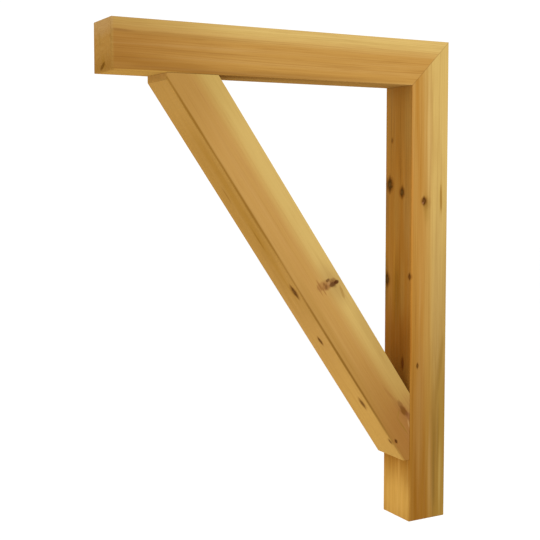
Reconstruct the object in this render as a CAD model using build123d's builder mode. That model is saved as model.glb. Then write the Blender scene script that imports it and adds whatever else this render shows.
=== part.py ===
from build123d import *
import os
from math import radians, tan

# A timber wall bracket: a horizontal arm and an upright post, mitred together at
# the outer corner, with a diagonal brace between them. All lengths are in
# millimetres. The wall is the plane X = 0, the arm reaches out along -X, Y runs
# across the timbers and Z is up. The origin is the centre of the post's wall face.

# Driving dimensions of the frame
timber = 88.9  # side of the dressed square stock that all three timbers are cut from
reach = 711.2  # wall plane to the free end of the arm
rise = 965.2  # foot of the post to the top of the arm
arris = 1.6  # radius that planing leaves along the stock's four long edges
end_arris = 1.0  # radius sanded round the two free ends

# Driving dimensions of the brace
brace_set_in = 100.0  # free end of the arm to the brace's upper tip
brace_lift = 128.0  # foot of the post to the brace's lower tip
head_nib = 12.7  # height of the upright cut that blunts the upper tip
foot_nib = 14.7  # width of the level cut that blunts the lower tip

# Driving dimensions of the wood screws and their holes
thread_diameter = 8.0
shank_diameter = 5.8  # plain part between the head and the thread
clearance_diameter = 8.6  # hole that the thread slides through in the first timber
bite = 62.6  # depth of the screw in the second timber
point_length = 9.0
head_diameter = 15.0
head_rim = 0.8  # upright edge round the top of the head
head_angle = 90.0  # included angle of the head's cone and of the countersink
head_sunk = 1.5  # top of the head below the face of the timber
drive_width = 4.8  # square recess for the driver, across its flats
drive_depth = 3.6

# Driving dimensions of the screws' places
pair_spread = 44.0  # between the two screws of a pair, across the timber
mitre_margin = 30.0  # mitre screws to the inner face of the timber they end in

# Planes of the frame that follow from those sizes
top = rise / 2
foot = -rise / 2
underside = top - timber
inner_face = -timber
arm_end = -reach
wall_plane = Plane(origin=(0, 0, 0), x_dir=(0, 1, 0), z_dir=(1, 0, 0))
mitre_plane = Plane(origin=(0, 0, top), x_dir=(0, 1, 0), z_dir=(-1, 0, 1))

# The brace's lower edge runs between its two blunted tips, which sets its slope.
head_tip = Vector(arm_end + brace_set_in, 0, underside - head_nib)
foot_tip = Vector(inner_face - foot_nib, 0, foot + brace_lift)
along_brace = (head_tip - foot_tip).normalized()
across_brace = Vector(0, 1, 0).cross(along_brace)
run_per_rise = -along_brace.X / along_brace.Z

# Planes that the lengths of stock start from. The brace's stock runs past both of
# its tips, and its end cuts take that spare length off.
spare = 2 * timber
brace_origin = foot_tip + across_brace * (timber / 2) - along_brace * spare
arm_start = Plane(origin=(arm_end, 0, top - timber / 2), x_dir=(0, 1, 0), z_dir=(1, 0, 0))
post_start = Plane(origin=(-timber / 2, 0, foot))
brace_start = Plane(origin=brace_origin, x_dir=across_brace, z_dir=along_brace)

# Where the brace's upper edge meets the arm and the post
head_joint_end = head_tip.X + timber / along_brace.Z - head_nib * run_per_rise
foot_joint_end = foot_tip.Z - timber / along_brace.X - foot_nib / run_per_rise

# Each brace screw runs midway between the brace's upper edge at the joint and its
# lower edge beside the screw's point, so the timber covers it on both sides.
head_screw_x = (head_joint_end + head_tip.X + (bite - head_nib) * run_per_rise) / 2
foot_screw_z = (foot_joint_end + foot_tip.Z + (bite - foot_nib) / run_per_rise) / 2
mitre_screw_inset = timber - mitre_margin

# Seats of the screws: each one is the centre of a head's top, its Z out of the timber.
top_seat = Plane(origin=(0, 0, top - head_sunk)).location
wall_seat = wall_plane.offset(-head_sunk).location
pair = (-pair_spread / 2, pair_spread / 2)
mitre_top_seats = [top_seat * Location((-mitre_screw_inset, y, 0)) for y in pair]
mitre_wall_seats = [wall_seat * Location((0, top - mitre_screw_inset, 0))]
head_seats = [top_seat * Location((head_screw_x, y, 0)) for y in pair]
foot_seats = [wall_seat * Location((y, foot_screw_z, 0)) for y in pair]

mitre_screw_length = mitre_screw_inset - head_sunk + bite
brace_screw_length = timber - head_sunk + bite
cone_height = (head_diameter - shank_diameter) / 2 / tan(radians(head_angle / 2))


def square_stock(plane, length):
    """A length of dressed timber with eased long edges, starting at the plane."""
    with BuildPart() as stock:
        with BuildSketch(plane):
            RectangleRounded(timber, timber, arris)
        extrude(amount=length)
    return stock.part


def countersunk_holes(seats):
    """Clearance holes through the first timber, each with the cone of a head."""
    under_rim = Location((0, 0, -head_rim))
    with Locations(*[seat * under_rim for seat in seats]):
        CounterSinkHole(
            radius=clearance_diameter / 2,
            counter_sink_radius=head_diameter / 2,
            counter_sink_angle=head_angle,
        )


def pilot_holes(seats, screw_length):
    """Holes in the second timber, which the thread fills as far as the point."""
    with Locations(*seats):
        Hole(radius=thread_diameter / 2, depth=screw_length)


def wood_screw(length):
    """A countersunk screw on the Z axis, its thread drawn as the outer envelope."""
    with BuildPart() as screw:
        with BuildSketch(Plane.XZ):
            with BuildLine():
                Polyline(
                    (0, 0),
                    (head_diameter / 2, 0),
                    (head_diameter / 2, -head_rim),
                    (shank_diameter / 2, -head_rim - cone_height),
                    (shank_diameter / 2, -length + bite),
                    (thread_diameter / 2, -length + bite),
                    (thread_diameter / 2, -length + point_length),
                    (0, -length),
                    close=True,
                )
            make_face()
        revolve(axis=Axis.Z)
        with BuildSketch():
            Rectangle(drive_width, drive_width)
        extrude(amount=-drive_depth, mode=Mode.SUBTRACT)
    return screw.part


# The arm: level stock, mitred where it meets the post
with BuildPart() as arm:
    add(square_stock(arm_start, reach))
    fillet(arm.faces().sort_by(Axis.X)[0].edges(), end_arris)
    split(bisect_by=mitre_plane, keep=Keep.TOP)
    countersunk_holes(mitre_top_seats + head_seats)
    pilot_holes(mitre_wall_seats, mitre_screw_length)

# The post: upright stock against the wall, mitred at the top
with BuildPart() as post:
    add(square_stock(post_start, rise))
    fillet(post.faces().sort_by(Axis.Z)[0].edges(), end_arris)
    split(bisect_by=mitre_plane, keep=Keep.BOTTOM)
    countersunk_holes(mitre_wall_seats + foot_seats)
    pilot_holes(mitre_top_seats, mitre_screw_length)

# The brace: sloping stock, cut to the arm and the post, then blunted at both tips
with BuildPart() as brace:
    add(square_stock(brace_start, (head_tip - foot_tip).length + 2 * spare))
    split(bisect_by=Plane(origin=(0, 0, underside), z_dir=(0, 0, -1)), keep=Keep.TOP)
    split(bisect_by=Plane(origin=(inner_face, 0, 0), z_dir=(-1, 0, 0)), keep=Keep.TOP)
    split(bisect_by=Plane(origin=head_tip, z_dir=(1, 0, 0)), keep=Keep.TOP)
    split(bisect_by=Plane(origin=foot_tip, z_dir=(0, 0, 1)), keep=Keep.TOP)
    pilot_holes(head_seats + foot_seats, brace_screw_length)

# Screws of the mitre: two down through the arm and one level through the post
with BuildPart() as mitre_screws:
    with Locations(*(mitre_top_seats + mitre_wall_seats)):
        add(wood_screw(mitre_screw_length))

# Screws of the brace: two down into its head and two level into its foot
with BuildPart() as brace_screws:
    with Locations(*(head_seats + foot_seats)):
        add(wood_screw(brace_screw_length))

arm.part.label = "arm"
post.part.label = "post"
brace.part.label = "brace"
mitre_screws.part.label = "mitre_screws"
brace_screws.part.label = "brace_screws"

os.makedirs("parts", exist_ok=True)
export_step(arm.part, "parts/arm.step")
export_step(post.part, "parts/post.step")
export_step(brace.part, "parts/brace.step")
export_step(mitre_screws.part, "parts/mitre_screws.step")
export_step(brace_screws.part, "parts/brace_screws.step")
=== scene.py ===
# %% [markdown]
# # A timber wall bracket, finished in Blender
#
# The bracket is three lengths of planed softwood: a level arm, an upright post and a
# sloping brace. They come from the CAD model with their real sizes and places, so this
# lesson adds what CAD leaves out: the wood's figure, its knots and checks, the threads of
# the hidden screws, and a studio to see them in.
#
# Lengths are in metres, as in Blender. Where the wood's own pattern or a screw's profile is
# laid out they are in millimetres, as on a joiner's rule, and the text says so.

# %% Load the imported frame
from math import atan, degrees, pi, radians

import bpy
import numpy as np
from mathutils import Matrix, Vector


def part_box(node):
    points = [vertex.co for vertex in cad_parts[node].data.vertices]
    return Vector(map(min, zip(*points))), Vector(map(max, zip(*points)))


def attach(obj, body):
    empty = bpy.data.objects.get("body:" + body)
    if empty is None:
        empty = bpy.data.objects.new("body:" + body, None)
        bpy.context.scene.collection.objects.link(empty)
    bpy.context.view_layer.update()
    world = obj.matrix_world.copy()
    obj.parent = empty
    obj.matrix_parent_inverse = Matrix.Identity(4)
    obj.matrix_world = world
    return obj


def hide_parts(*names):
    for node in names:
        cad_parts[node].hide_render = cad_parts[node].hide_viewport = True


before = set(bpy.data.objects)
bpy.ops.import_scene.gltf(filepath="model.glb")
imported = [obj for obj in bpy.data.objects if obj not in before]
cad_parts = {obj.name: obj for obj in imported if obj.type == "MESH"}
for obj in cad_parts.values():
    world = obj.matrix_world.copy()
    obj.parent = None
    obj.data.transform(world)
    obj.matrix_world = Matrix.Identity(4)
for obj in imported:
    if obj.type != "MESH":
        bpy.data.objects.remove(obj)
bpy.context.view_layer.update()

# %% [markdown]
# ## Where the timbers lie
#
# Wood grain follows each timber, so every material needs to know where its timber starts
# and which way it runs. The boxes of the CAD nodes tell that: the arm's box gives the
# stock's side and the free end, the post's box gives the outer corner, and the brace's
# box gives its slope, once the two small cuts that blunt its tips are taken off.

# %% Measure the timbers
MM = 0.001
arm_low, arm_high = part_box("arm")
post_low, post_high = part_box("post")
brace_low, brace_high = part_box("brace")

side = arm_high.z - arm_low.z
corner = Vector((post_high.x, 0, arm_high.z))
head_nib = 12.7 * MM
foot_nib = 14.7 * MM
head_tip = Vector((brace_low.x, 0, brace_high.z - head_nib))
foot_tip = Vector((brace_high.x - foot_nib, 0, brace_low.z))
slope = (foot_tip - head_tip).normalized()
print(f"stock {side / MM:.1f} mm square, brace {degrees(atan(-slope.x / slope.z)):.1f} degrees from upright")

# %% [markdown]
# ## The camera
#
# A tall thing is photographed from far back with a longish lens, so that its upright
# lines stay nearly upright. Here the camera stands in front of the bracket and to the
# free end's side, a little above its middle, and is tipped down by a few degrees. A small
# vertical shift of the lens does the rest, as on a view camera.

# %% Camera
camera_place = Vector((-1.3111, -1.6883, 0.2159))
tipped_down = radians(3.76)
turned_to_wall = radians(28.76)

camera = bpy.data.cameras.new("camera")
camera.sensor_width = 36.0
camera.lens = 68.25
camera.shift_y = -0.05
camera_object = bpy.data.objects.new("camera", camera)
camera_object.location = camera_place
camera_object.rotation_euler = (pi / 2 - tipped_down, 0, -turned_to_wall)
bpy.context.scene.collection.objects.link(camera_object)
bpy.context.scene.camera = camera_object
print(f"camera {(camera_place - corner).length:.2f} m from the outer corner")

# %% [markdown]
# ## Colours and nodes
#
# Colours are easiest to pick as sRGB hex values, the way a paint chart gives them, but
# shaders work in linear light, so one function turns one into the other. A second small
# function adds a node. Its options go in as settings, and each input takes a plain value,
# a hex colour, a node or a socket. A name means the first input in use that has that name,
# because a Mix node, for one, keeps hidden inputs of the same name for its other types.

# %% Helpers for colours and nodes
def linear(hex_colour):
    """sRGB hex to linear red, green, blue and alpha, by the sRGB curve."""
    channels = [int(hex_colour[i:i + 2], 16) / 255 for i in (1, 3, 5)]
    return (*[c / 12.92 if c <= 0.04045 else ((c + 0.055) / 1.055) ** 2.4 for c in channels], 1.0)


def in_use(sockets, name=None):
    """The first socket that the node's settings leave in use, with this name if one is given."""
    return next(s for s in sockets if s.enabled and name in (None, s.name))


def add(tree, kind, settings=None, inputs=None):
    """A new node: settings are its options, inputs are values, hex colours, nodes or sockets."""
    node = tree.nodes.new(kind)
    for option, choice in (settings or {}).items():
        setattr(node, option, choice)
    for key, value in (inputs or {}).items():
        socket = node.inputs[key] if isinstance(key, int) else in_use(node.inputs, key)
        if isinstance(value, bpy.types.Node):
            value = in_use(value.outputs)
        if isinstance(value, bpy.types.NodeSocket):
            tree.links.new(value, socket)
        elif isinstance(value, str):
            socket.default_value = linear(value)
        else:
            socket.default_value = value
    return node


def new_material(name):
    """An empty node material, its tree and its Principled shader."""
    material = bpy.data.materials.new(name)
    material.use_nodes = True
    tree = material.node_tree
    tree.nodes.clear()
    shader = add(tree, "ShaderNodeBsdfPrincipled")
    add(tree, "ShaderNodeOutputMaterial", None, {"Surface": shader})
    return material, tree, shader


print("middle grey #808080 is", round(linear("#808080")[0], 3), "in linear light")

# %% [markdown]
# ## Studio
#
# The light is soft and comes from all round, off white walls and a white floor. The
# bracket would hang on a wall, so the floor lies well below its foot. Two soft lamps give
# it form. One in front of the outer corner lifts the front faces there. The other stands
# out beyond the free end, low down and in line with the bracket, so it lights the faces
# that look left and down, while the brace keeps it off the inside of the triangle.

# %% World and floor
world = bpy.data.worlds.new("white_studio")
world.use_nodes = True
sky = world.node_tree.nodes["Background"]
sky.inputs["Color"].default_value = (1, 1, 1, 1)
sky.inputs["Strength"].default_value = 1.06
bpy.context.scene.world = world
bpy.context.scene.view_settings.view_transform = "Standard"

floor_drop = 0.55
floor_reach = 12.0
floor_z = post_low.z - floor_drop
floor_sides = (-floor_reach, floor_reach)
floor_corners = [(x, y, floor_z) for x in floor_sides for y in floor_sides]
floor_mesh = bpy.data.meshes.new("floor")
floor_mesh.from_pydata(floor_corners, [], [(0, 2, 3, 1)])
floor = bpy.data.objects.new("floor", floor_mesh)
bpy.context.scene.collection.objects.link(floor)

floor_paint, floor_tree, floor_shader = new_material("white_matt_floor_paint")
floor_shader.inputs["Base Color"].default_value = linear("#fbfbfb")
floor_shader.inputs["Roughness"].default_value = 0.9
floor_mesh.materials.append(floor_paint)
print(f"floor {floor_drop} m below the foot of the post")

# %% Lamps
def soft_lamp(name, place, target, width, height, power):
    """An area lamp at a place, turned to face the target and not seen by the camera itself."""
    lamp = bpy.data.lights.new(name, "AREA")
    lamp.shape = "RECTANGLE"
    lamp.size = width
    lamp.size_y = height
    lamp.energy = power
    lamp_object = bpy.data.objects.new(name, lamp)
    lamp_object.location = place
    lamp_object.rotation_euler = (Vector(target) - Vector(place)).to_track_quat("-Z", "Y").to_euler()
    lamp_object.visible_camera = False
    bpy.context.scene.collection.objects.link(lamp_object)
    print(f"{name}: {(Vector(target) - Vector(place)).length:.2f} m away, {power} W")


soft_lamp("corner_lamp", place=(0.1, -1.6, 0.8), target=(-0.15, 0, 0.2),
          width=0.7, height=0.7, power=15)
soft_lamp("free_end_lamp", place=(-2.3, 0, -0.62), target=(-0.3, 0, 0),
          width=0.3, height=0.7, power=16)

# %% [markdown]
# ## How a piece of softwood gets its figure
#
# A tree adds one ring a year: pale soft wood in spring, a thin dark line in late summer.
# A timber is a square window cut out of those rings. So the pattern is worked out as a
# solid, and all six faces cut through the same one, which is how rings turn the corners
# in real wood.
#
# The first step gives each point its place in the timber, in millimetres: `u` along the
# grain, `v` from the face that looks down or away from the wall to the one opposite, and
# `w` from the back to the front. A Mapping node of the Texture kind does all of that: it
# takes off the origin, turns the axes back and divides by the size of a millimetre.

# %% Grain coordinates
BACK = Vector((0, side / 2, 0))
FRONTWARD = Vector((0, -1, 0))


def grain_place(tree, along, across, origin):
    """(u, v, w) in mm: the point's offset from the origin, along three square directions."""
    turn = Matrix((along, across, FRONTWARD)).transposed().to_euler()
    coordinates = add(tree, "ShaderNodeTexCoord")
    return add(tree, "ShaderNodeMapping", {"vector_type": "TEXTURE"},
               {"Vector": coordinates.outputs["Object"], "Location": BACK + origin,
                "Rotation": turn, "Scale": (MM, MM, MM)})


def blobs(tree, place, lengths_mm, seed, detail=2.0):
    """Soft noise from 0 to 1, its blobs about as long as the three lengths along u, v and w."""
    scaled = add(tree, "ShaderNodeVectorMath", {"operation": "DIVIDE"}, {0: place, 1: lengths_mm})
    return add(tree, "ShaderNodeTexNoise", {"noise_dimensions": "4D"},
               {"Vector": scaled, "W": seed, "Scale": 1.0, "Detail": detail, "Roughness": 0.55})


print("the arm's grain starts at its free end, the post's at the top and the brace's at its head")

# %% [markdown]
# ## Knots, and the grain that flows round them
#
# A knot is a branch that the growing trunk closed over. A face cuts it as a round or oval
# spot, and the rings flow round it like water round a post. Each knot is a stretched ball
# in grain coordinates, and another Mapping node measures how far a point is from its
# middle in knot radii. That one number does two jobs: close by, it draws the grain aside,
# and inside, it paints the knot. Checks and cracks are long thin balls of the same kind.

# %% Distance from a knot, and the drawn grain
SMOOTH = {"interpolation_type": "SMOOTHSTEP"}
# About how far the grain is drawn aside round a knot, in knot radii along and across it
DRAWN_ALONG, DRAWN_ACROSS = 4.5, 2.2
# A usual knot is this much longer than wide where it looks out, and this many radii deep
USUAL_SLANT, USUAL_DEPTH = 1.35, 2.4
# A knot looks out of the front or of the outward face, which is the one where v is 0
DRAWN_SIDEWAYS = {"front": (0, 1, 0), "outward": (0, 0, 1)}


def reach(tree, place, centre_mm, radii_mm, turn_degrees=(0, 0, 0)):
    """Distance from the centre, in units of the three radii, so that 1 is the ball's skin."""
    turn = [radians(angle) for angle in turn_degrees]
    inside = add(tree, "ShaderNodeMapping", {"vector_type": "TEXTURE"},
                 {"Vector": place, "Location": centre_mm, "Rotation": turn, "Scale": radii_mm})
    return add(tree, "ShaderNodeVectorMath", {"operation": "LENGTH"}, {0: inside})


def flow_round(tree, place, knot):
    """The place drawn towards the knot's middle line, so that the grain opens like an eye."""
    centre_mm = Vector(knot["at"])
    sideways = Vector(DRAWN_SIDEWAYS[knot["face"]])
    wide = [r * (DRAWN_ALONG if i == 0 else DRAWN_ACROSS) for i, r in enumerate(knot["radii"])]
    distance = reach(tree, place, centre_mm, wide)
    pull = add(tree, "ShaderNodeMapRange", {"interpolation_type": "SMOOTHERSTEP"},
               {"Value": distance, "From Min": 0.1, "From Max": 1.3, "To Min": 0.75, "To Max": 0.0})
    offset = add(tree, "ShaderNodeVectorMath", {"operation": "MULTIPLY_ADD"},
                 {0: place, 1: sideways, 2: -centre_mm * sideways})
    drawn = add(tree, "ShaderNodeVectorMath", {"operation": "SCALE"}, {0: offset, "Scale": pull})
    return add(tree, "ShaderNodeVectorMath", {"operation": "SUBTRACT"}, {0: place, 1: drawn})


def knot(at, radius_mm, face, dark, slant=USUAL_SLANT, depth=USUAL_DEPTH, tint="#4b2e12"):
    """A knot that looks out of a face: slant times longer than wide, and this many radii deep."""
    radii = {"front": (slant * radius_mm, radius_mm, depth * radius_mm),
             "outward": (slant * radius_mm, depth * radius_mm, radius_mm)}[face]
    return {"at": at, "radii": radii, "face": face, "dark": dark, "tint": tint}


print("a knot 5 mm in radius reaches", USUAL_DEPTH * 5, "mm into the timber")

# %% [markdown]
# ## Rings
#
# The pith, the tree's centre line, usually lies outside a sawn timber. Its place is given
# in `v` and `w`, with a lean along `u`, because a trunk is never quite in line with the
# saw. The distance from that line, roughened by slow noise, is the ring radius. Near the
# bark the wood is pale sapwood, and further in it is darker heartwood.

# %% Ring radius and late wood
def ring_radius(tree, place, look):
    """Distance from the leaning pith line, across the grain, plus slow noise, in mm."""
    split = add(tree, "ShaderNodeSeparateXYZ", None, {0: place})
    lean = add(tree, "ShaderNodeVectorMath", {"operation": "SCALE"},
               {0: (0, -look["lean"][0], -look["lean"][1]), "Scale": split.outputs["X"]})
    upright = add(tree, "ShaderNodeVectorMath", {"operation": "ADD"}, {0: place, 1: lean})
    across = add(tree, "ShaderNodeVectorMath", {"operation": "MULTIPLY_ADD"},
                 {0: upright, 1: (0, 1, 1), 2: (0, -look["pith_mm"][0], -look["pith_mm"][1])})
    radius = add(tree, "ShaderNodeVectorMath", {"operation": "LENGTH"}, {0: across})
    slow = blobs(tree, place, (380, 70, 70), look["seed"] + 1)
    return add(tree, "ShaderNodeMath", {"operation": "MULTIPLY_ADD"},
               {0: slow, 1: look["wander_mm"], 2: radius})


def late_wood(tree, radius, by_ring, look):
    """The dark end of each ring: a skewed sawtooth that climbs slowly and drops at once.

    A noise that changes from ring to ring makes the years uneven, both wide and narrow
    and strong and faint: the sawtooth is read a little ahead or behind, and scaled by it.
    """
    most_shift_mm = 6.0
    uneven = blobs(tree, by_ring, (900, 6, 90), look["seed"] + 5)
    shifted = add(tree, "ShaderNodeMath", {"operation": "MULTIPLY_ADD"},
                  {0: uneven, 1: most_shift_mm, 2: radius})
    ring = add(tree, "ShaderNodeMath", {"operation": "DIVIDE"}, {0: shifted, 1: look["ring_mm"]})
    part = add(tree, "ShaderNodeMath", {"operation": "FRACT"}, {0: ring})
    climb = add(tree, "ShaderNodeMapRange", SMOOTH, {"Value": part, "From Min": 0.3, "From Max": 0.88})
    drop = add(tree, "ShaderNodeMapRange", SMOOTH,
               {"Value": part, "From Min": 0.88, "From Max": 1.0, "To Min": 1.0, "To Max": 0.0})
    strong = add(tree, "ShaderNodeMapRange", SMOOTH, {"Value": uneven, "From Min": 0.35, "From Max": 0.65})
    line = add(tree, "ShaderNodeMath", {"operation": "MULTIPLY"}, {0: climb, 1: drop})
    return add(tree, "ShaderNodeMath", {"operation": "MULTIPLY"}, {0: line, 1: strong})


print("a 30-year tree with 3 mm rings is", 2 * 30 * 3, "mm thick")

# %% [markdown]
# ## Colour in coats
#
# The colour goes on the way a painter would lay it: the broad heartwood and sapwood
# first, then the slow change of tone from one end of a timber to the other, the large soft
# stains and a few patches of painted light and painted shade on single faces, then
# streaks, late wood and fibres, then the knots, and the checks last. A coat is a row of a
# table: what drives it, the two values between which it comes in, how strong it gets, its
# colour, and how it mixes with what lies under it. Stains, painted patches and checks are
# rows too: a middle, three radii, three turns in degrees, a strength and a colour.
#
# A stain or a knot with a clean outline would look printed on. So a noise is added to the
# distance from its middle, which makes the outline waver. The noise is about a half on
# average, and that is why the limits of such coats are larger than the radii they draw.

# %% Coats of colour
MARK_WAVER = 0.8
KNOT_WAVER = 3.0
# The eye of dark grain is a lens, this many knot radii along the grain and across it
EYE_ALONG, EYE_ACROSS = 2.7, 0.75


def lay_coats(tree, colour, coats):
    """Each coat over the last one: (driver, starts at, full at, strength, hex colour, blend)."""
    for driver, start, full, strength, hex_colour, blend in coats:
        amount = add(tree, "ShaderNodeMapRange", SMOOTH,
                     {"Value": driver, "From Min": start, "From Max": full,
                      "To Min": 0.0, "To Max": strength})
        colour = add(tree, "ShaderNodeMix", {"data_type": "RGBA", "blend_type": blend},
                     {"Factor": amount, "A": colour, "B": hex_colour})
    return colour


def paint_marks(tree, colour, place, marks, waver, edges):
    """Stretched balls of colour, their skins wavering with a noise and as soft as the edges say."""
    for at, radii_mm, turn_degrees, strength, hex_colour in marks:
        distance = reach(tree, place, at, radii_mm, turn_degrees)
        rough = add(tree, "ShaderNodeMath", {"operation": "MULTIPLY_ADD"},
                    {0: waver, 1: MARK_WAVER, 2: distance})
        colour = lay_coats(tree, colour, [(rough, *edges, strength, hex_colour, "MIX")])
    return colour


def wood_colour(tree, place, flowing, radius, by_ring, late, look, stains_and_painted_light):
    """Heartwood, sapwood, year bands, tones, stain patches and patches of painted light and shade, streaks,
    late wood lines and fibres.

    Real fibres are a few hundredths of a millimetre wide, far too fine for a view of the
    whole bracket, so they are drawn 2 mm wide, as coarse as it takes for them to show.
    """
    seed = look["seed"]
    along = add(tree, "ShaderNodeSeparateXYZ", None, {0: place}).outputs["X"]
    years = blobs(tree, by_ring, (1200, 11, 120), seed)
    streaks = blobs(tree, flowing, (340, 6, 6), seed + 3)
    fibres = blobs(tree, flowing, (70, 2.0, 2.0), seed + 7)
    patches = blobs(tree, flowing, (240, 60, 60), seed + 11)
    clouds = blobs(tree, place, (120, 12, 12), seed + 31)
    sap = look["sap_mm"]
    blur = look["sap_blur_mm"]
    colour = lay_coats(tree, look["heart"], [
        (years, 0.35, 0.65, 0.8, look["heart_year"], "MIX"),
        (radius, sap - blur, sap + blur, 1.0, look["sap"], "MIX"),
        (patches, 0.5, 0.8, 0.5, look["patch"], "MIX"),
    ] + [(along, start, full, 1.0, tone, "MULTIPLY") for start, full, tone in look["tones"]])
    colour = paint_marks(tree, colour, place, stains_and_painted_light, clouds, (1.6, 0.6))
    return lay_coats(tree, colour, [
        (streaks, 0.48, 0.75, look["streak"], "#a9803f", "MULTIPLY"),
        (streaks, 0.5, 0.25, 0.15 * look["streak"], "#f2deb0", "SCREEN"),
        (late, 0.0, 1.0, look["line"], "#a9793a", "MULTIPLY"),
        (fibres, 0.45, 0.8, look["fibre"], "#b38a50", "MULTIPLY"),
    ])


def paint_knots(tree, colour, place, knots, seed):
    """Each knot's eye of dark grain, the stain round it, its bark rim, olive middle and pith."""
    ragged = blobs(tree, place, (7, 2.8, 2.8), seed + 19, 3.0)
    for one in knots:
        distance = reach(tree, place, one["at"], one["radii"])
        lens = [r * (EYE_ALONG if i == 0 else EYE_ACROSS) for i, r in enumerate(one["radii"])]
        eye = reach(tree, place, one["at"], lens)
        rough = add(tree, "ShaderNodeMath", {"operation": "MULTIPLY_ADD"},
                    {0: ragged, 1: KNOT_WAVER, 2: distance})
        dark = one["dark"]
        colour = lay_coats(tree, colour, [
            (distance, 2.4, 0.8, 0.75 * dark, "#94692e", "MULTIPLY"),
            (eye, 1.1, 0.4, 0.6 * dark, "#7c5824", "MULTIPLY"),
            (rough, 2.8, 2.1, dark, one["tint"], "MIX"),
            (rough, 2.15, 1.75, 0.6 * dark, "#735026", "MIX"),
            (rough, 1.6, 1.35, 0.6 * dark, one["tint"], "MIX"),
        ])
    return colour


print("coats of plain wood: 7, 1 more for each tone, stain or check, and 5 more for each knot")

# %% [markdown]
# ## The whole timber
#
# Planed softwood with nothing brushed on it is matt. The plane cuts the fibres clean, the
# late wood stands a few hundredths of a millimetre proud, and sawn end grain drinks in more
# light than the faces do. Where two timbers meet, a joint shows as a fine dark line. A real
# one is a hair wide, and here it is drawn 2 mm wide so that it shows.
#
# Each timber has a table of its look. A name that ends in mm is a length. `pith_mm` is
# where the pith lies in `v` and `w`, and `lean` is how far it moves in them for each
# millimetre along. `line`, `streak` and `fibre` are strengths. A tone is the `u` in mm at
# which it starts, the `u` at which it is full, and its colour.

# %% Timber material
def timber_material(name, along, across, origin, look, stains_and_painted_light, knots, checks, seams):
    """Planed softwood, its grain along one direction, cut from one solid pattern."""
    material, tree, shader = new_material(name)
    place = grain_place(tree, along, across, origin)
    flowing = place
    for one in knots:
        flowing = flow_round(tree, flowing, one)
    radius = ring_radius(tree, flowing, look)
    split = add(tree, "ShaderNodeSeparateXYZ", None, {0: flowing})
    by_ring = add(tree, "ShaderNodeCombineXYZ", None,
                  {"X": split.outputs["X"], "Y": radius, "Z": split.outputs["Z"]})
    late = late_wood(tree, radius, by_ring, look)
    colour = wood_colour(tree, place, flowing, radius, by_ring, late, look, stains_and_painted_light)
    colour = paint_knots(tree, colour, place, knots, look["seed"])
    splinters = blobs(tree, place, (9, 3, 3), look["seed"] + 29, 3.0)
    colour = paint_marks(tree, colour, place, checks, splinters, (1.75, 1.1))

    coordinates = add(tree, "ShaderNodeTexCoord")
    facing = add(tree, "ShaderNodeVectorMath", {"operation": "DOT_PRODUCT"},
                 {0: coordinates.outputs["Normal"], 1: along})
    end_grain = add(tree, "ShaderNodeMath", {"operation": "ABSOLUTE"}, {0: facing})
    colour = lay_coats(tree, colour, [(end_grain, 0.5, 0.95, 0.12, "#c79a5c", "MULTIPLY")])
    for point, normal in seams:
        offset = add(tree, "ShaderNodeVectorMath", {"operation": "SUBTRACT"},
                     {0: coordinates.outputs["Object"], 1: point})
        height = add(tree, "ShaderNodeVectorMath", {"operation": "DOT_PRODUCT"},
                     {0: offset, 1: Vector(normal).normalized() / MM})
        gap = add(tree, "ShaderNodeMath", {"operation": "ABSOLUTE"}, {0: height})
        colour = lay_coats(tree, colour, [(gap, 1.0, 0.1, 0.34, "#7a4f20", "MULTIPLY")])

    # The ridges are 0.6 mm wide, coarser than real fibres, and show only from close by.
    grain = blobs(tree, flowing, (40, 0.6, 0.6), look["seed"] + 23)
    relief = add(tree, "ShaderNodeMath", {"operation": "MULTIPLY_ADD"}, {0: late, 1: 0.35, 2: grain})
    bump = add(tree, "ShaderNodeBump", None, {"Strength": 0.25, "Distance": 0.04 * MM, "Height": relief})
    dullness = add(tree, "ShaderNodeMapRange", None, {"Value": late, "To Min": 0.62, "To Max": 0.5})
    for socket, source in (("Base Color", colour), ("Roughness", dullness), ("Normal", bump)):
        tree.links.new(in_use(source.outputs), shader.inputs[socket])
    # Bare wood has no clear film that would mirror the white studio, and even a weak mirror
    # lays a pale veil on faces seen at a low angle. With the level at 0 there is none, and
    # the roughness only matters to someone who raises the level again, as for oiled wood.
    shader.inputs["Specular IOR Level"].default_value = 0.0
    print(f"{name}: {len(tree.nodes)} nodes, {len(knots)} knots, {len(stains_and_painted_light)} stains, {len(checks)} checks")
    return material

# %% [markdown]
# ## The arm
#
# The pith lay below the arm, so the rings run nearly level across the face in view, and
# the sapwood shows as a pale band along the top that widens towards the wall.
# The free end is sawn square, and has one dark ingrown streak low down.

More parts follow.
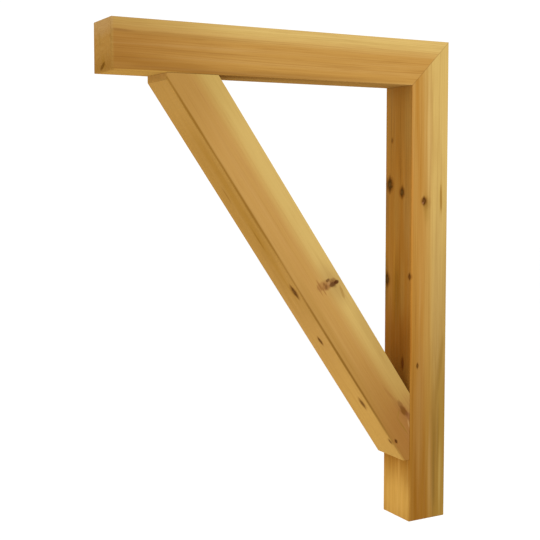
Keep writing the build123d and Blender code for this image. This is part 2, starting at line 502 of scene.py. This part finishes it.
# %% Arm timber
mitre_seam = (corner, (-1, 0, 1))
arm_look = {
    "seed": 2.0, "pith_mm": (-34, 38), "lean": (-0.015, 0.0), "wander_mm": 9.0, "ring_mm": 3.1,
    "sap_mm": 122, "sap_blur_mm": 13, "line": 0.18, "streak": 0.16, "fibre": 0.2,
    "heart": "#a2793b", "heart_year": "#a78044", "sap": "#b59859", "patch": "#986d32",
    "tones": [(300, 0, "#e6dacb")],
}
arm_stains = [
    ((70, 12, 88.9), (240, 17, 60), (0, 0, -5), 0.6, "#875c24"),
    ((290, 3, 88.9), (330, 9, 50), (0, 0, 0), 0.6, "#805722"),
    ((12, 67, 88.9), (34, 2.5, 8), (0, 0, -2), 0.5, "#80572a"),
    ((60, 0, 44), (120, 3, 100), (0, 0, 0), 0.9, "#a67f3c"),
    ((0, 45, 44), (5, 120, 120), (0, 0, 0), 0.9, "#9a7438"),
    ((0, 86, 40), (5, 30, 100), (0, 0, 0), 0.6, "#a8895a"),
    ((0, 2, 50), (6, 34, 90), (0, 0, 0), 0.55, "#7f581f"),
    ((0, 15, 49), (6, 16, 8), (-25, 0, 0), 0.45, "#85601a"),
    ((0, 55, 31), (6, 16, 4.5), (0, 0, 0), 0.4, "#85672a"),
    ((0, 50, 86), (6, 36, 4.5), (0, 0, 0), 0.45, "#886a34"),
]
arm_checks = [((0, 9, 44), (6, 4, 12), (-25, 0, 0), 0.8, "#5f3c0e")]
arm_timber = timber_material("planed_softwood_arm", Vector((1, 0, 0)), Vector((0, 0, 1)),
                             Vector((arm_low.x, 0, arm_low.z)), arm_look, arm_stains, [], arm_checks,
                             [mitre_seam])
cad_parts["arm"].data.materials[0] = arm_timber

# %% [markdown]
# ## The post
#
# The post has the liveliest figure. A whorl of branches crosses it a third of the way
# down, so knots look out of two of its faces at about the same height, and a thin drying
# crack has opened beside them. Orange heartwood runs along its inner edge. The outer side
# is pale at the top and darkens towards the foot, in long olive streaks.

# %% Post timber
post_look = {
    "seed": 5.0, "pith_mm": (-46, 40), "lean": (0.026, 0.0), "wander_mm": 10.0, "ring_mm": 3.3,
    "sap_mm": 99, "sap_blur_mm": 18, "line": 0.09, "streak": 0.2, "fibre": 0.12,
    "heart": "#9a6d2d", "heart_year": "#a37c3f", "sap": "#b09354", "patch": "#916931",
    "tones": [(430, 900, "#dccea9")],
}
post_stains_and_painted_light = [
    ((430, 0, 40), (560, 6, 95), (0, 0, 0), 0.6, "#a86e24"),
    # Painted light: the inner face below the brace is made lighter, where the low lamp beyond the free end
    # falls on it.
    ((925, 0, 40), (80, 7, 95), (0, 0, 0), 0.7, "#bf9448"),
    ((800, 78, 88.9), (250, 34, 60), (0, 0, 0), 0.8, "#876628"),
    ((520, 85, 88.9), (230, 15, 50), (0, 0, 0), 0.4, "#8f7038"),
    ((830, 60.5, 88.9), (150, 5.5, 30), (0, 0, 0), 0.5, "#785818"),
    ((665, 73, 88.9), (85, 6.5, 30), (0, 0, -7), 0.55, "#785818"),
    # Painted shade: the inner face just above the brace's foot is made darker, in the corner that the brace
    # closes.
    ((600, 0, 44), (80, 5, 100), (0, 0, 0), 0.5, "#8a4f10"),
    ((880, 76, 88.9), (90, 5, 20), (0, 0, 0), 0.4, "#a88a4c"),
    ((860, 51, 88.9), (130, 6, 20), (0, 0, 0), 0.5, "#a5804a"),
    ((860, 28, 88.9), (130, 10, 20), (0, 0, 0), 0.4, "#8a5e22"),
    ((860, 61, 88.9), (120, 2.8, 10), (0, 0, 0), 0.5, "#6b5020"),
    ((800, 71, 88.9), (100, 2.4, 10), (0, 0, 0), 0.45, "#75592a"),
    ((330, 37, 88.9), (36, 9, 10), (0, 0, 4), 0.35, "#80601e"),
    ((321, 35, 88.9), (17, 13, 9), (0, 0, 0), 0.55, "#7c5824"),
    ((313, 73, 88.9), (44, 5.5, 9), (0, 0, 0), 0.5, "#9a762e"),
    ((190, 43, 88.9), (150, 7, 30), (0, 0, 0), 0.6, "#b49459"),
    ((430, 24, 88.9), (170, 9, 30), (0, 0, 0), 0.45, "#a67e42"),
    ((740, 24, 88.9), (190, 14, 30), (0, 0, 0), 0.55, "#966f3a"),
    ((540, 66, 88.9), (230, 17, 40), (0, 0, 0), 0.45, "#8e6d3c"),
    ((800, 60, 88.9), (190, 14, 30), (0, 0, 0), 0.4, "#7c5a2c"),
    ((165, 0, 74), (110, 8, 15), (0, 0, 0), 0.6, "#a67d3c"),
    ((340, 0, 38), (90, 8, 16), (0, 0, 0), 0.4, "#a47a38"),
    ((345, 0, 74), (100, 8, 14), (0, 0, 0), 0.5, "#a67d3e"),
    ((335, 0, 3), (80, 8, 10), (0, 0, 0), 0.45, "#7a5c30"),
    ((480, 0, 3), (75, 8, 11), (0, 0, 0), 0.5, "#6e5024"),
    ((495, 0, 41), (90, 8, 15), (0, 0, 0), 0.7, "#875a14"),
    ((495, 0, 60), (85, 8, 9), (0, 0, 0), 0.4, "#a8803e"),
    ((230, 0, 52), (75, 6, 2.6), (0, 0, 0), 0.4, "#70481a"),
    ((150, 0, 50), (95, 4, 1.7), (0, 0.6, 0), 0.5, "#775016"),
    ((168, 0, 19), (95, 4, 1.5), (0, -0.8, 0), 0.45, "#6f4d1a"),
    ((178, 0, 28), (45, 4, 1.3), (0, 1.5, 0), 0.45, "#6f4d1a"),
    ((250, 0, 70), (150, 4, 1.7), (0, -0.5, 0), 0.35, "#7e521c"),
    ((430, 0, 50), (105, 4, 2.0), (0, 0.5, 0), 0.4, "#824a0e"),
    ((430, 0, 32), (110, 4, 3.4), (0, 0, 0), 0.4, "#b5802e"),
]
post_knots = [
    knot((317, 30.5, 88.9), 4.2, "front", 1.0, 1.15, tint="#42220a"),
    knot((648, 18, 88.9), 1.9, "front", 0.85, 1.8, tint="#4f3008"),
    knot((196, 0, 22), 2.6, "outward", 0.4),
    knot((285, 0, 15), 7.6, "outward", 0.85, 1.2, tint="#45300f"),
    knot((300, 0, 57), 5.8, "outward", 0.8, 1.2, tint="#4c3412"),
    knot((479.5, 0, 8), 6.2, "outward", 0.75, tint="#45300f"),
    knot((467.6, 0, 84.4), 3.4, "outward", 0.8, 1.2, 0.9, "#5c3410"),
    knot((645.8, 0, 62.8), 3.6, "outward", 0.6, 2.2, tint="#6e3410"),
]
post_checks = [
    ((313, 73, 88.9), (26, 2.0, 7), (0, 0, 1.5), 0.65, "#76521c"),
    ((321, 28, 88.9), (2.0, 1.6, 3), (0, 0, 0), 0.6, "#9a6a48"),
]
post_timber = timber_material("planed_softwood_post", Vector((0, 0, -1)), Vector((1, 0, 0)),
                              Vector((post_low.x, 0, corner.z)), post_look, post_stains_and_painted_light, post_knots,
                              post_checks, [mitre_seam])
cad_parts["post"].data.materials[0] = post_timber

# %% [markdown]
# ## The brace
#
# The brace is pale along its upper edge. In the middle of its front a branch was cut at a
# slant, which leaves a ragged knot with a spur, and a blurred red one lies near the foot.
# The face that looks down and out has four small knots.

# %% Brace timber
brace_across = slope.cross(Vector((0, 1, 0)))
head_seam = (Vector((0, 0, arm_low.z)), (0, 0, 1))
foot_seam = (Vector((post_low.x, 0, 0)), (1, 0, 0))
brace_look = {
    "seed": 9.0, "pith_mm": (-50, 30), "lean": (0.004, 0.0), "wander_mm": 10.0, "ring_mm": 3.4,
    "sap_mm": 124, "sap_blur_mm": 14, "line": 0.06, "streak": 0.06, "fibre": 0.12,
    "heart": "#a47d41", "heart_year": "#a78047", "sap": "#b29556", "patch": "#a0773b",
    "tones": [(190, 20, "#f0ede4"), (540, 900, "#dac8b1")],
}
brace_stains_and_painted_light = [
    # Painted shade: the face that looks down and out is made darker over its head half, under the arm.
    ((250, 0, 60), (420, 7, 120), (0, 0, 0), 0.7, "#8d672a"),
    # Painted light: the same face is made lighter towards the foot, where the low lamp and the floor light
    # it.
    ((860, 0, 44), (300, 4, 130), (0, 0, 0), 0.95, "#ab8442"),
    ((30, 0, 60), (110, 5, 110), (0, 0, 0), 0.18, "#b59050"),
    ((280, 0, 61), (240, 5, 18), (0, 0, 0), 0.4, "#8a621e"),
    ((500, 72, 88.9), (56, 26, 30), (0, 0, 0), 0.45, "#8f6c3a"),
    ((640, 84, 88.9), (130, 16, 30), (0, 0, 0), 0.5, "#9c7d43"),
    ((845, 28, 88.9), (80, 34, 60), (0, 0, 0), 0.4, "#906230"),
    # A thin dark line runs along the front just above its lower edge, from the head to the foot.
    ((660, 1.5, 88.9), (260, 2.8, 5), (0, 0, 0), 0.85, "#684410"),
    ((230, 2, 88.9), (330, 2.6, 5), (0, 0, 0), 0.75, "#7a541a"),
    ((40, 2, 88.9), (110, 3.0, 5), (0, 0, 0), 0.6, "#7a541a"),
    ((600, 10, 88.9), (260, 12, 30), (0, 0, 0), 0.35, "#8f6a2c"),
    ((765, 50.5, 88.9), (34, 3.5, 10), (0, 0, 9), 0.4, "#865a2c"),
    ((812, 54, 88.9), (38, 13, 14), (0, 0, 5), 0.45, "#85552c"),
    ((850, 60, 88.9), (72, 28, 20), (0, 0, -15), 0.55, "#8b5e33"),
    ((835, 38, 88.9), (26, 2.2, 8), (0, 0, 3), 0.5, "#7c5c1c"),
    ((806, 45, 88.9), (11, 2, 8), (0, 0, -48), 0.45, "#80601f"),
    ((840, 52, 88.9), (12, 2.4, 8), (0, 0, -20), 0.45, "#b08a58"),
    ((345, 0, 55), (34, 9, 4.5), (0, 0, 0), 0.75, "#7a5418"),
    ((245, 0, 38), (20, 9, 4), (0, 0, 0), 0.65, "#7a5418"),
]
brace_knots = [
    knot((497, 70, 88.9), 5.0, "front", 0.45, 1.0),
    knot((849, 8.5, 88.9), 1.8, "front", 1.0, 1.6, 1.0, "#3c1c04"),
    knot((467, 0, 70), 6.0, "outward", 0.85, 1.5),
    knot((590, 0, 50), 4.0, "outward", 0.8, 1.5),
    knot((748, 0, 64), 5.6, "outward", 0.6, 1.5),
    knot((844, 0, 83), 3.4, "outward", 0.55, 1.3, 0.8),
]
brace_checks = [
    ((489, 52, 88.9), (9, 16, 9), (0, 0, -20), 0.55, "#85582e"),
    ((489, 38, 88.9), (12, 1.6, 5), (0, 0, 0), 0.4, "#7c4c28"),
    ((482, 43, 88.9), (12, 1.5, 5), (0, 0, 0), 0.45, "#74451f"),
    ((497, 45, 88.9), (10, 1.5, 5), (0, 0, 0), 0.4, "#74451f"),
    ((494, 54, 88.9), (7, 9, 7), (0, 0, -20), 0.45, "#7a4c26"),
    ((494, 53, 88.9), (4.5, 2.8, 6), (0, 0, -30), 0.55, "#5e3a1c"),
    ((486, 52.5, 88.9), (3.2, 2.2, 4), (0, 0, 0), 0.5, "#68401e"),
    ((494, 71, 88.9), (7, 8, 6), (0, 0, -24), 0.6, "#76502a"),
    ((498, 67, 88.9), (4.4, 6.5, 8), (0, 0, -24), 0.8, "#52321a"),
    ((499.5, 77, 88.9), (3.8, 5.2, 8), (0, 0, -20), 0.9, "#421d0a"),
    ((485, 63, 88.9), (2.8, 4.4, 5), (0, 0, 0), 0.75, "#56341a"),
    ((491.5, 61.5, 88.9), (2.8, 3.4, 4), (0, 0, 0), 0.5, "#9c744a"),
    ((524, 76, 88.9), (14, 2.6, 5), (0, 0, -10), 0.5, "#86642c"),
    ((811, 57.5, 88.9), (13, 5.4, 9), (0, 0, 5), 0.8, "#60380f"),
    ((796, 58, 88.9), (11, 4.4, 6), (0, 0, 0), 0.5, "#6c4520"),
    ((829, 61, 88.9), (12, 5.5, 6), (0, 0, 10), 0.5, "#74482a"),
]
brace_timber = timber_material("planed_softwood_brace", slope, brace_across, head_tip, brace_look,
                               brace_stains_and_painted_light, brace_knots, brace_checks, [head_seam, foot_seam])
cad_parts["brace"].data.materials[0] = brace_timber

# %% [markdown]
# ## The hidden screws
#
# Seven countersunk timber screws hold the bracket together. Their heads lie a little below
# the top of the arm and the back of the post, where a shelf and the wall will cover them.
# Each one is a single surface: a profile from the bottom of the square driver recess, over
# the head and down the shank to the point, carried once round the axis. Where the profile
# is the recess, its radius follows a square. Where it is the thread, a ridge winds down it.

# %% One screw as a grid
# Radii: the head, the plain shank, the thread's crest and root, and half the recess's width
HEAD_MM, SHANK_MM, THREAD_MM, ROOT_MM, RECESS_MM = 7.5, 2.9, 4.0, 2.6, 2.4
# Lengths down the axis: the head's rim, one turn of thread, its bite, its point, the recess
RIM_MM, PITCH_MM, BITE_MM, POINT_MM, RECESS_DEEP_MM = 0.8, 4.5, 62.6, 9.0, 3.6
POINT_GAP_MM = 0.2
AROUND = 32
ROWS_PER_TURN = 10


def screw_grid(length_mm):
    """Points of one screw in mm, as rows down the profile by columns round the axis.

    The radius is the profile's, or that of a square round the recess: half its width over
    the larger of |cos| and |sin|. The thread adds a ridge, the cube of a raised cosine of
    depth over pitch plus turn, so its crest winds once round for each pitch. It swells over
    the first pitch and narrows to nothing at the point.
    """
    angle = np.arange(AROUND) * 2 * np.pi / AROUND
    square = RECESS_MM / np.maximum(np.abs(np.cos(angle)), np.abs(np.sin(angle)))
    # Rows of height and share or radius. Each corner is two rows a fraction of a millimetre
    # apart, which eases it and keeps the smooth shading of the flats beside it.
    recess = [(-RECESS_DEEP_MM, 0.96), (-RECESS_DEEP_MM + 0.1, 1.0), (-0.1, 1.0), (0.0, 1.04)]
    cone_end = RIM_MM + HEAD_MM - SHANK_MM
    head = [(0.0, HEAD_MM - 0.15), (-0.15, HEAD_MM),
            (-RIM_MM + 0.1, HEAD_MM), (-RIM_MM - 0.1, HEAD_MM - 0.1),
            (-cone_end + 0.2, SHANK_MM + 0.25), (-cone_end - 0.3, SHANK_MM),
            (BITE_MM - length_mm + 0.3, SHANK_MM)]
    depth = np.arange(length_mm - BITE_MM, length_mm - POINT_GAP_MM, PITCH_MM / ROWS_PER_TURN)
    narrow = np.clip((length_mm - depth) / POINT_MM, 0, 1)[:, None]
    swell = np.clip((depth - depth[0]) / PITCH_MM, 0, 1)[:, None]
    wave = 0.5 + 0.5 * np.cos(2 * np.pi * depth[:, None] / PITCH_MM + angle[None, :])
    body = SHANK_MM + (ROOT_MM - SHANK_MM) * swell
    thread = narrow * (body + (THREAD_MM - body) * swell * wave ** 3)

    radius = np.vstack([square * share for _, share in recess]
                       + [np.full(AROUND, r) for _, r in head] + [thread])
    height = np.concatenate([[z for z, _ in recess], [z for z, _ in head], -depth])
    return np.stack([radius * np.cos(angle), radius * np.sin(angle),
                     np.broadcast_to(height[:, None], radius.shape)], -1)


print("one screw is a grid of", screw_grid(120.0).shape[:2], "points")

# %% Screws into a mesh
def screw_faces(rows, first):
    """Quads between neighbouring rows, and a fan to the middle of the recess and to the point."""
    here = np.arange(AROUND)
    after = (here + 1) % AROUND
    start = first + 1 + AROUND * np.arange(rows - 1)[:, None]
    quads = np.stack([start + here, start + AROUND + here, start + AROUND + after, start + after], -1)
    last = first + 1 + AROUND * (rows - 1)
    top_fan = np.stack([np.full(AROUND, first), first + 1 + here, first + 1 + after], -1)
    point_fan = np.stack([np.full(AROUND, last + AROUND), last + after, last + here], -1)
    return quads.reshape(-1, 4).tolist() + top_fan.tolist() + point_fan.tolist()


def screw_set(name, node, seats, length_mm, steel):
    """All the screws of a CAD node as one piece: each seat is the head's place and its turn."""
    points, faces = [], []
    grid = screw_grid(length_mm)
    ends = np.array([[0, 0, -RECESS_DEEP_MM], [0, 0, -length_mm]])
    one_screw = np.concatenate([ends[:1], grid.reshape(-1, 3), ends[1:]]) * MM
    for place, turn in seats:
        faces += screw_faces(len(grid), len(one_screw) * len(points))
        points.append(one_screw @ np.array(turn.to_3x3()).T + np.array(place))
    mesh = bpy.data.meshes.new(name)
    mesh.from_pydata(np.concatenate(points).tolist(), [], faces)
    mesh.polygons.foreach_set("use_smooth", np.ones(len(mesh.polygons), bool))
    mesh.materials.append(steel)
    piece = bpy.data.objects.new(name, mesh)
    bpy.context.scene.collection.objects.link(piece)
    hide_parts(node)
    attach(piece, "root")
    print(f"{name}: {len(seats)} screws, {len(mesh.polygons)} faces")

# %% [markdown]
# ## Stainless steel
#
# Timber screws for outdoor work are stainless steel, rolled, then cleaned in acid. That
# leaves a soft grey shine with fine scratches, and slightly duller patches where the acid
# bit deeper. It is a metal, so its colour is in its reflection. The patches are 2 mm wide.
# The scratches are 0.15 mm wide, and only a close view shows them.

# %% Screw steel and the two sets of screws
def stainless_steel(name):
    """Passivated stainless steel: grey reflection, clouded roughness, fine scratches."""
    material, tree, shader = new_material(name)
    coordinates = add(tree, "ShaderNodeTexCoord")
    clouds = add(tree, "ShaderNodeTexNoise", None,
                 {"Vector": coordinates.outputs["Object"], "Scale": 1 / (2 * MM), "Detail": 3.0})
    scratches = add(tree, "ShaderNodeTexNoise", None,
                    {"Vector": coordinates.outputs["Object"], "Scale": 1 / (0.15 * MM), "Detail": 1.0})
    colour = lay_coats(tree, "#b9b7b2", [(clouds, 0.4, 0.7, 0.5, "#9d9b95", "MIX")])
    dull = add(tree, "ShaderNodeMapRange", None, {"Value": clouds, "To Min": 0.26, "To Max": 0.44})
    bump = add(tree, "ShaderNodeBump", None, {"Strength": 0.15, "Distance": 0.02 * MM, "Height": scratches})
    for socket, source in (("Base Color", colour), ("Roughness", dull), ("Normal", bump)):
        tree.links.new(in_use(source.outputs), shader.inputs[socket])
    shader.inputs["Metallic"].default_value = 1.0
    return material


steel = stainless_steel("passivated_stainless_screws")
mitre_box_low, mitre_box_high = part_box("mitre_screws")
brace_box_low, brace_box_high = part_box("brace_screws")
pair_spread_mm, mitre_margin_mm, head_sunk_mm = 44, 30, 1.5
pair = (-pair_spread_mm / 2 * MM, pair_spread_mm / 2 * MM)
mitre_inset = side - mitre_margin_mm * MM
head_x = brace_box_low.x + HEAD_MM * MM
foot_z = brace_box_low.z + HEAD_MM * MM
mitre_length = (mitre_box_high.z - mitre_box_low.z) / MM
brace_length = side / MM - head_sunk_mm + BITE_MM

downward = Matrix.Identity(3)
wallward = Matrix.Rotation(pi / 2, 3, "Y")
mitre_seats = [((post_high.x - mitre_inset, y, mitre_box_high.z), downward) for y in pair]
mitre_seats.append(((mitre_box_high.x, 0, corner.z - mitre_inset), wallward))
brace_seats = [((head_x, y, brace_box_high.z), downward) for y in pair]
brace_seats += [((brace_box_high.x, y, foot_z), wallward) for y in pair]
screw_set("mitre_screws_threaded", "mitre_screws", mitre_seats, mitre_length, steel)
screw_set("brace_screws_threaded", "brace_screws", brace_seats, brace_length, steel)
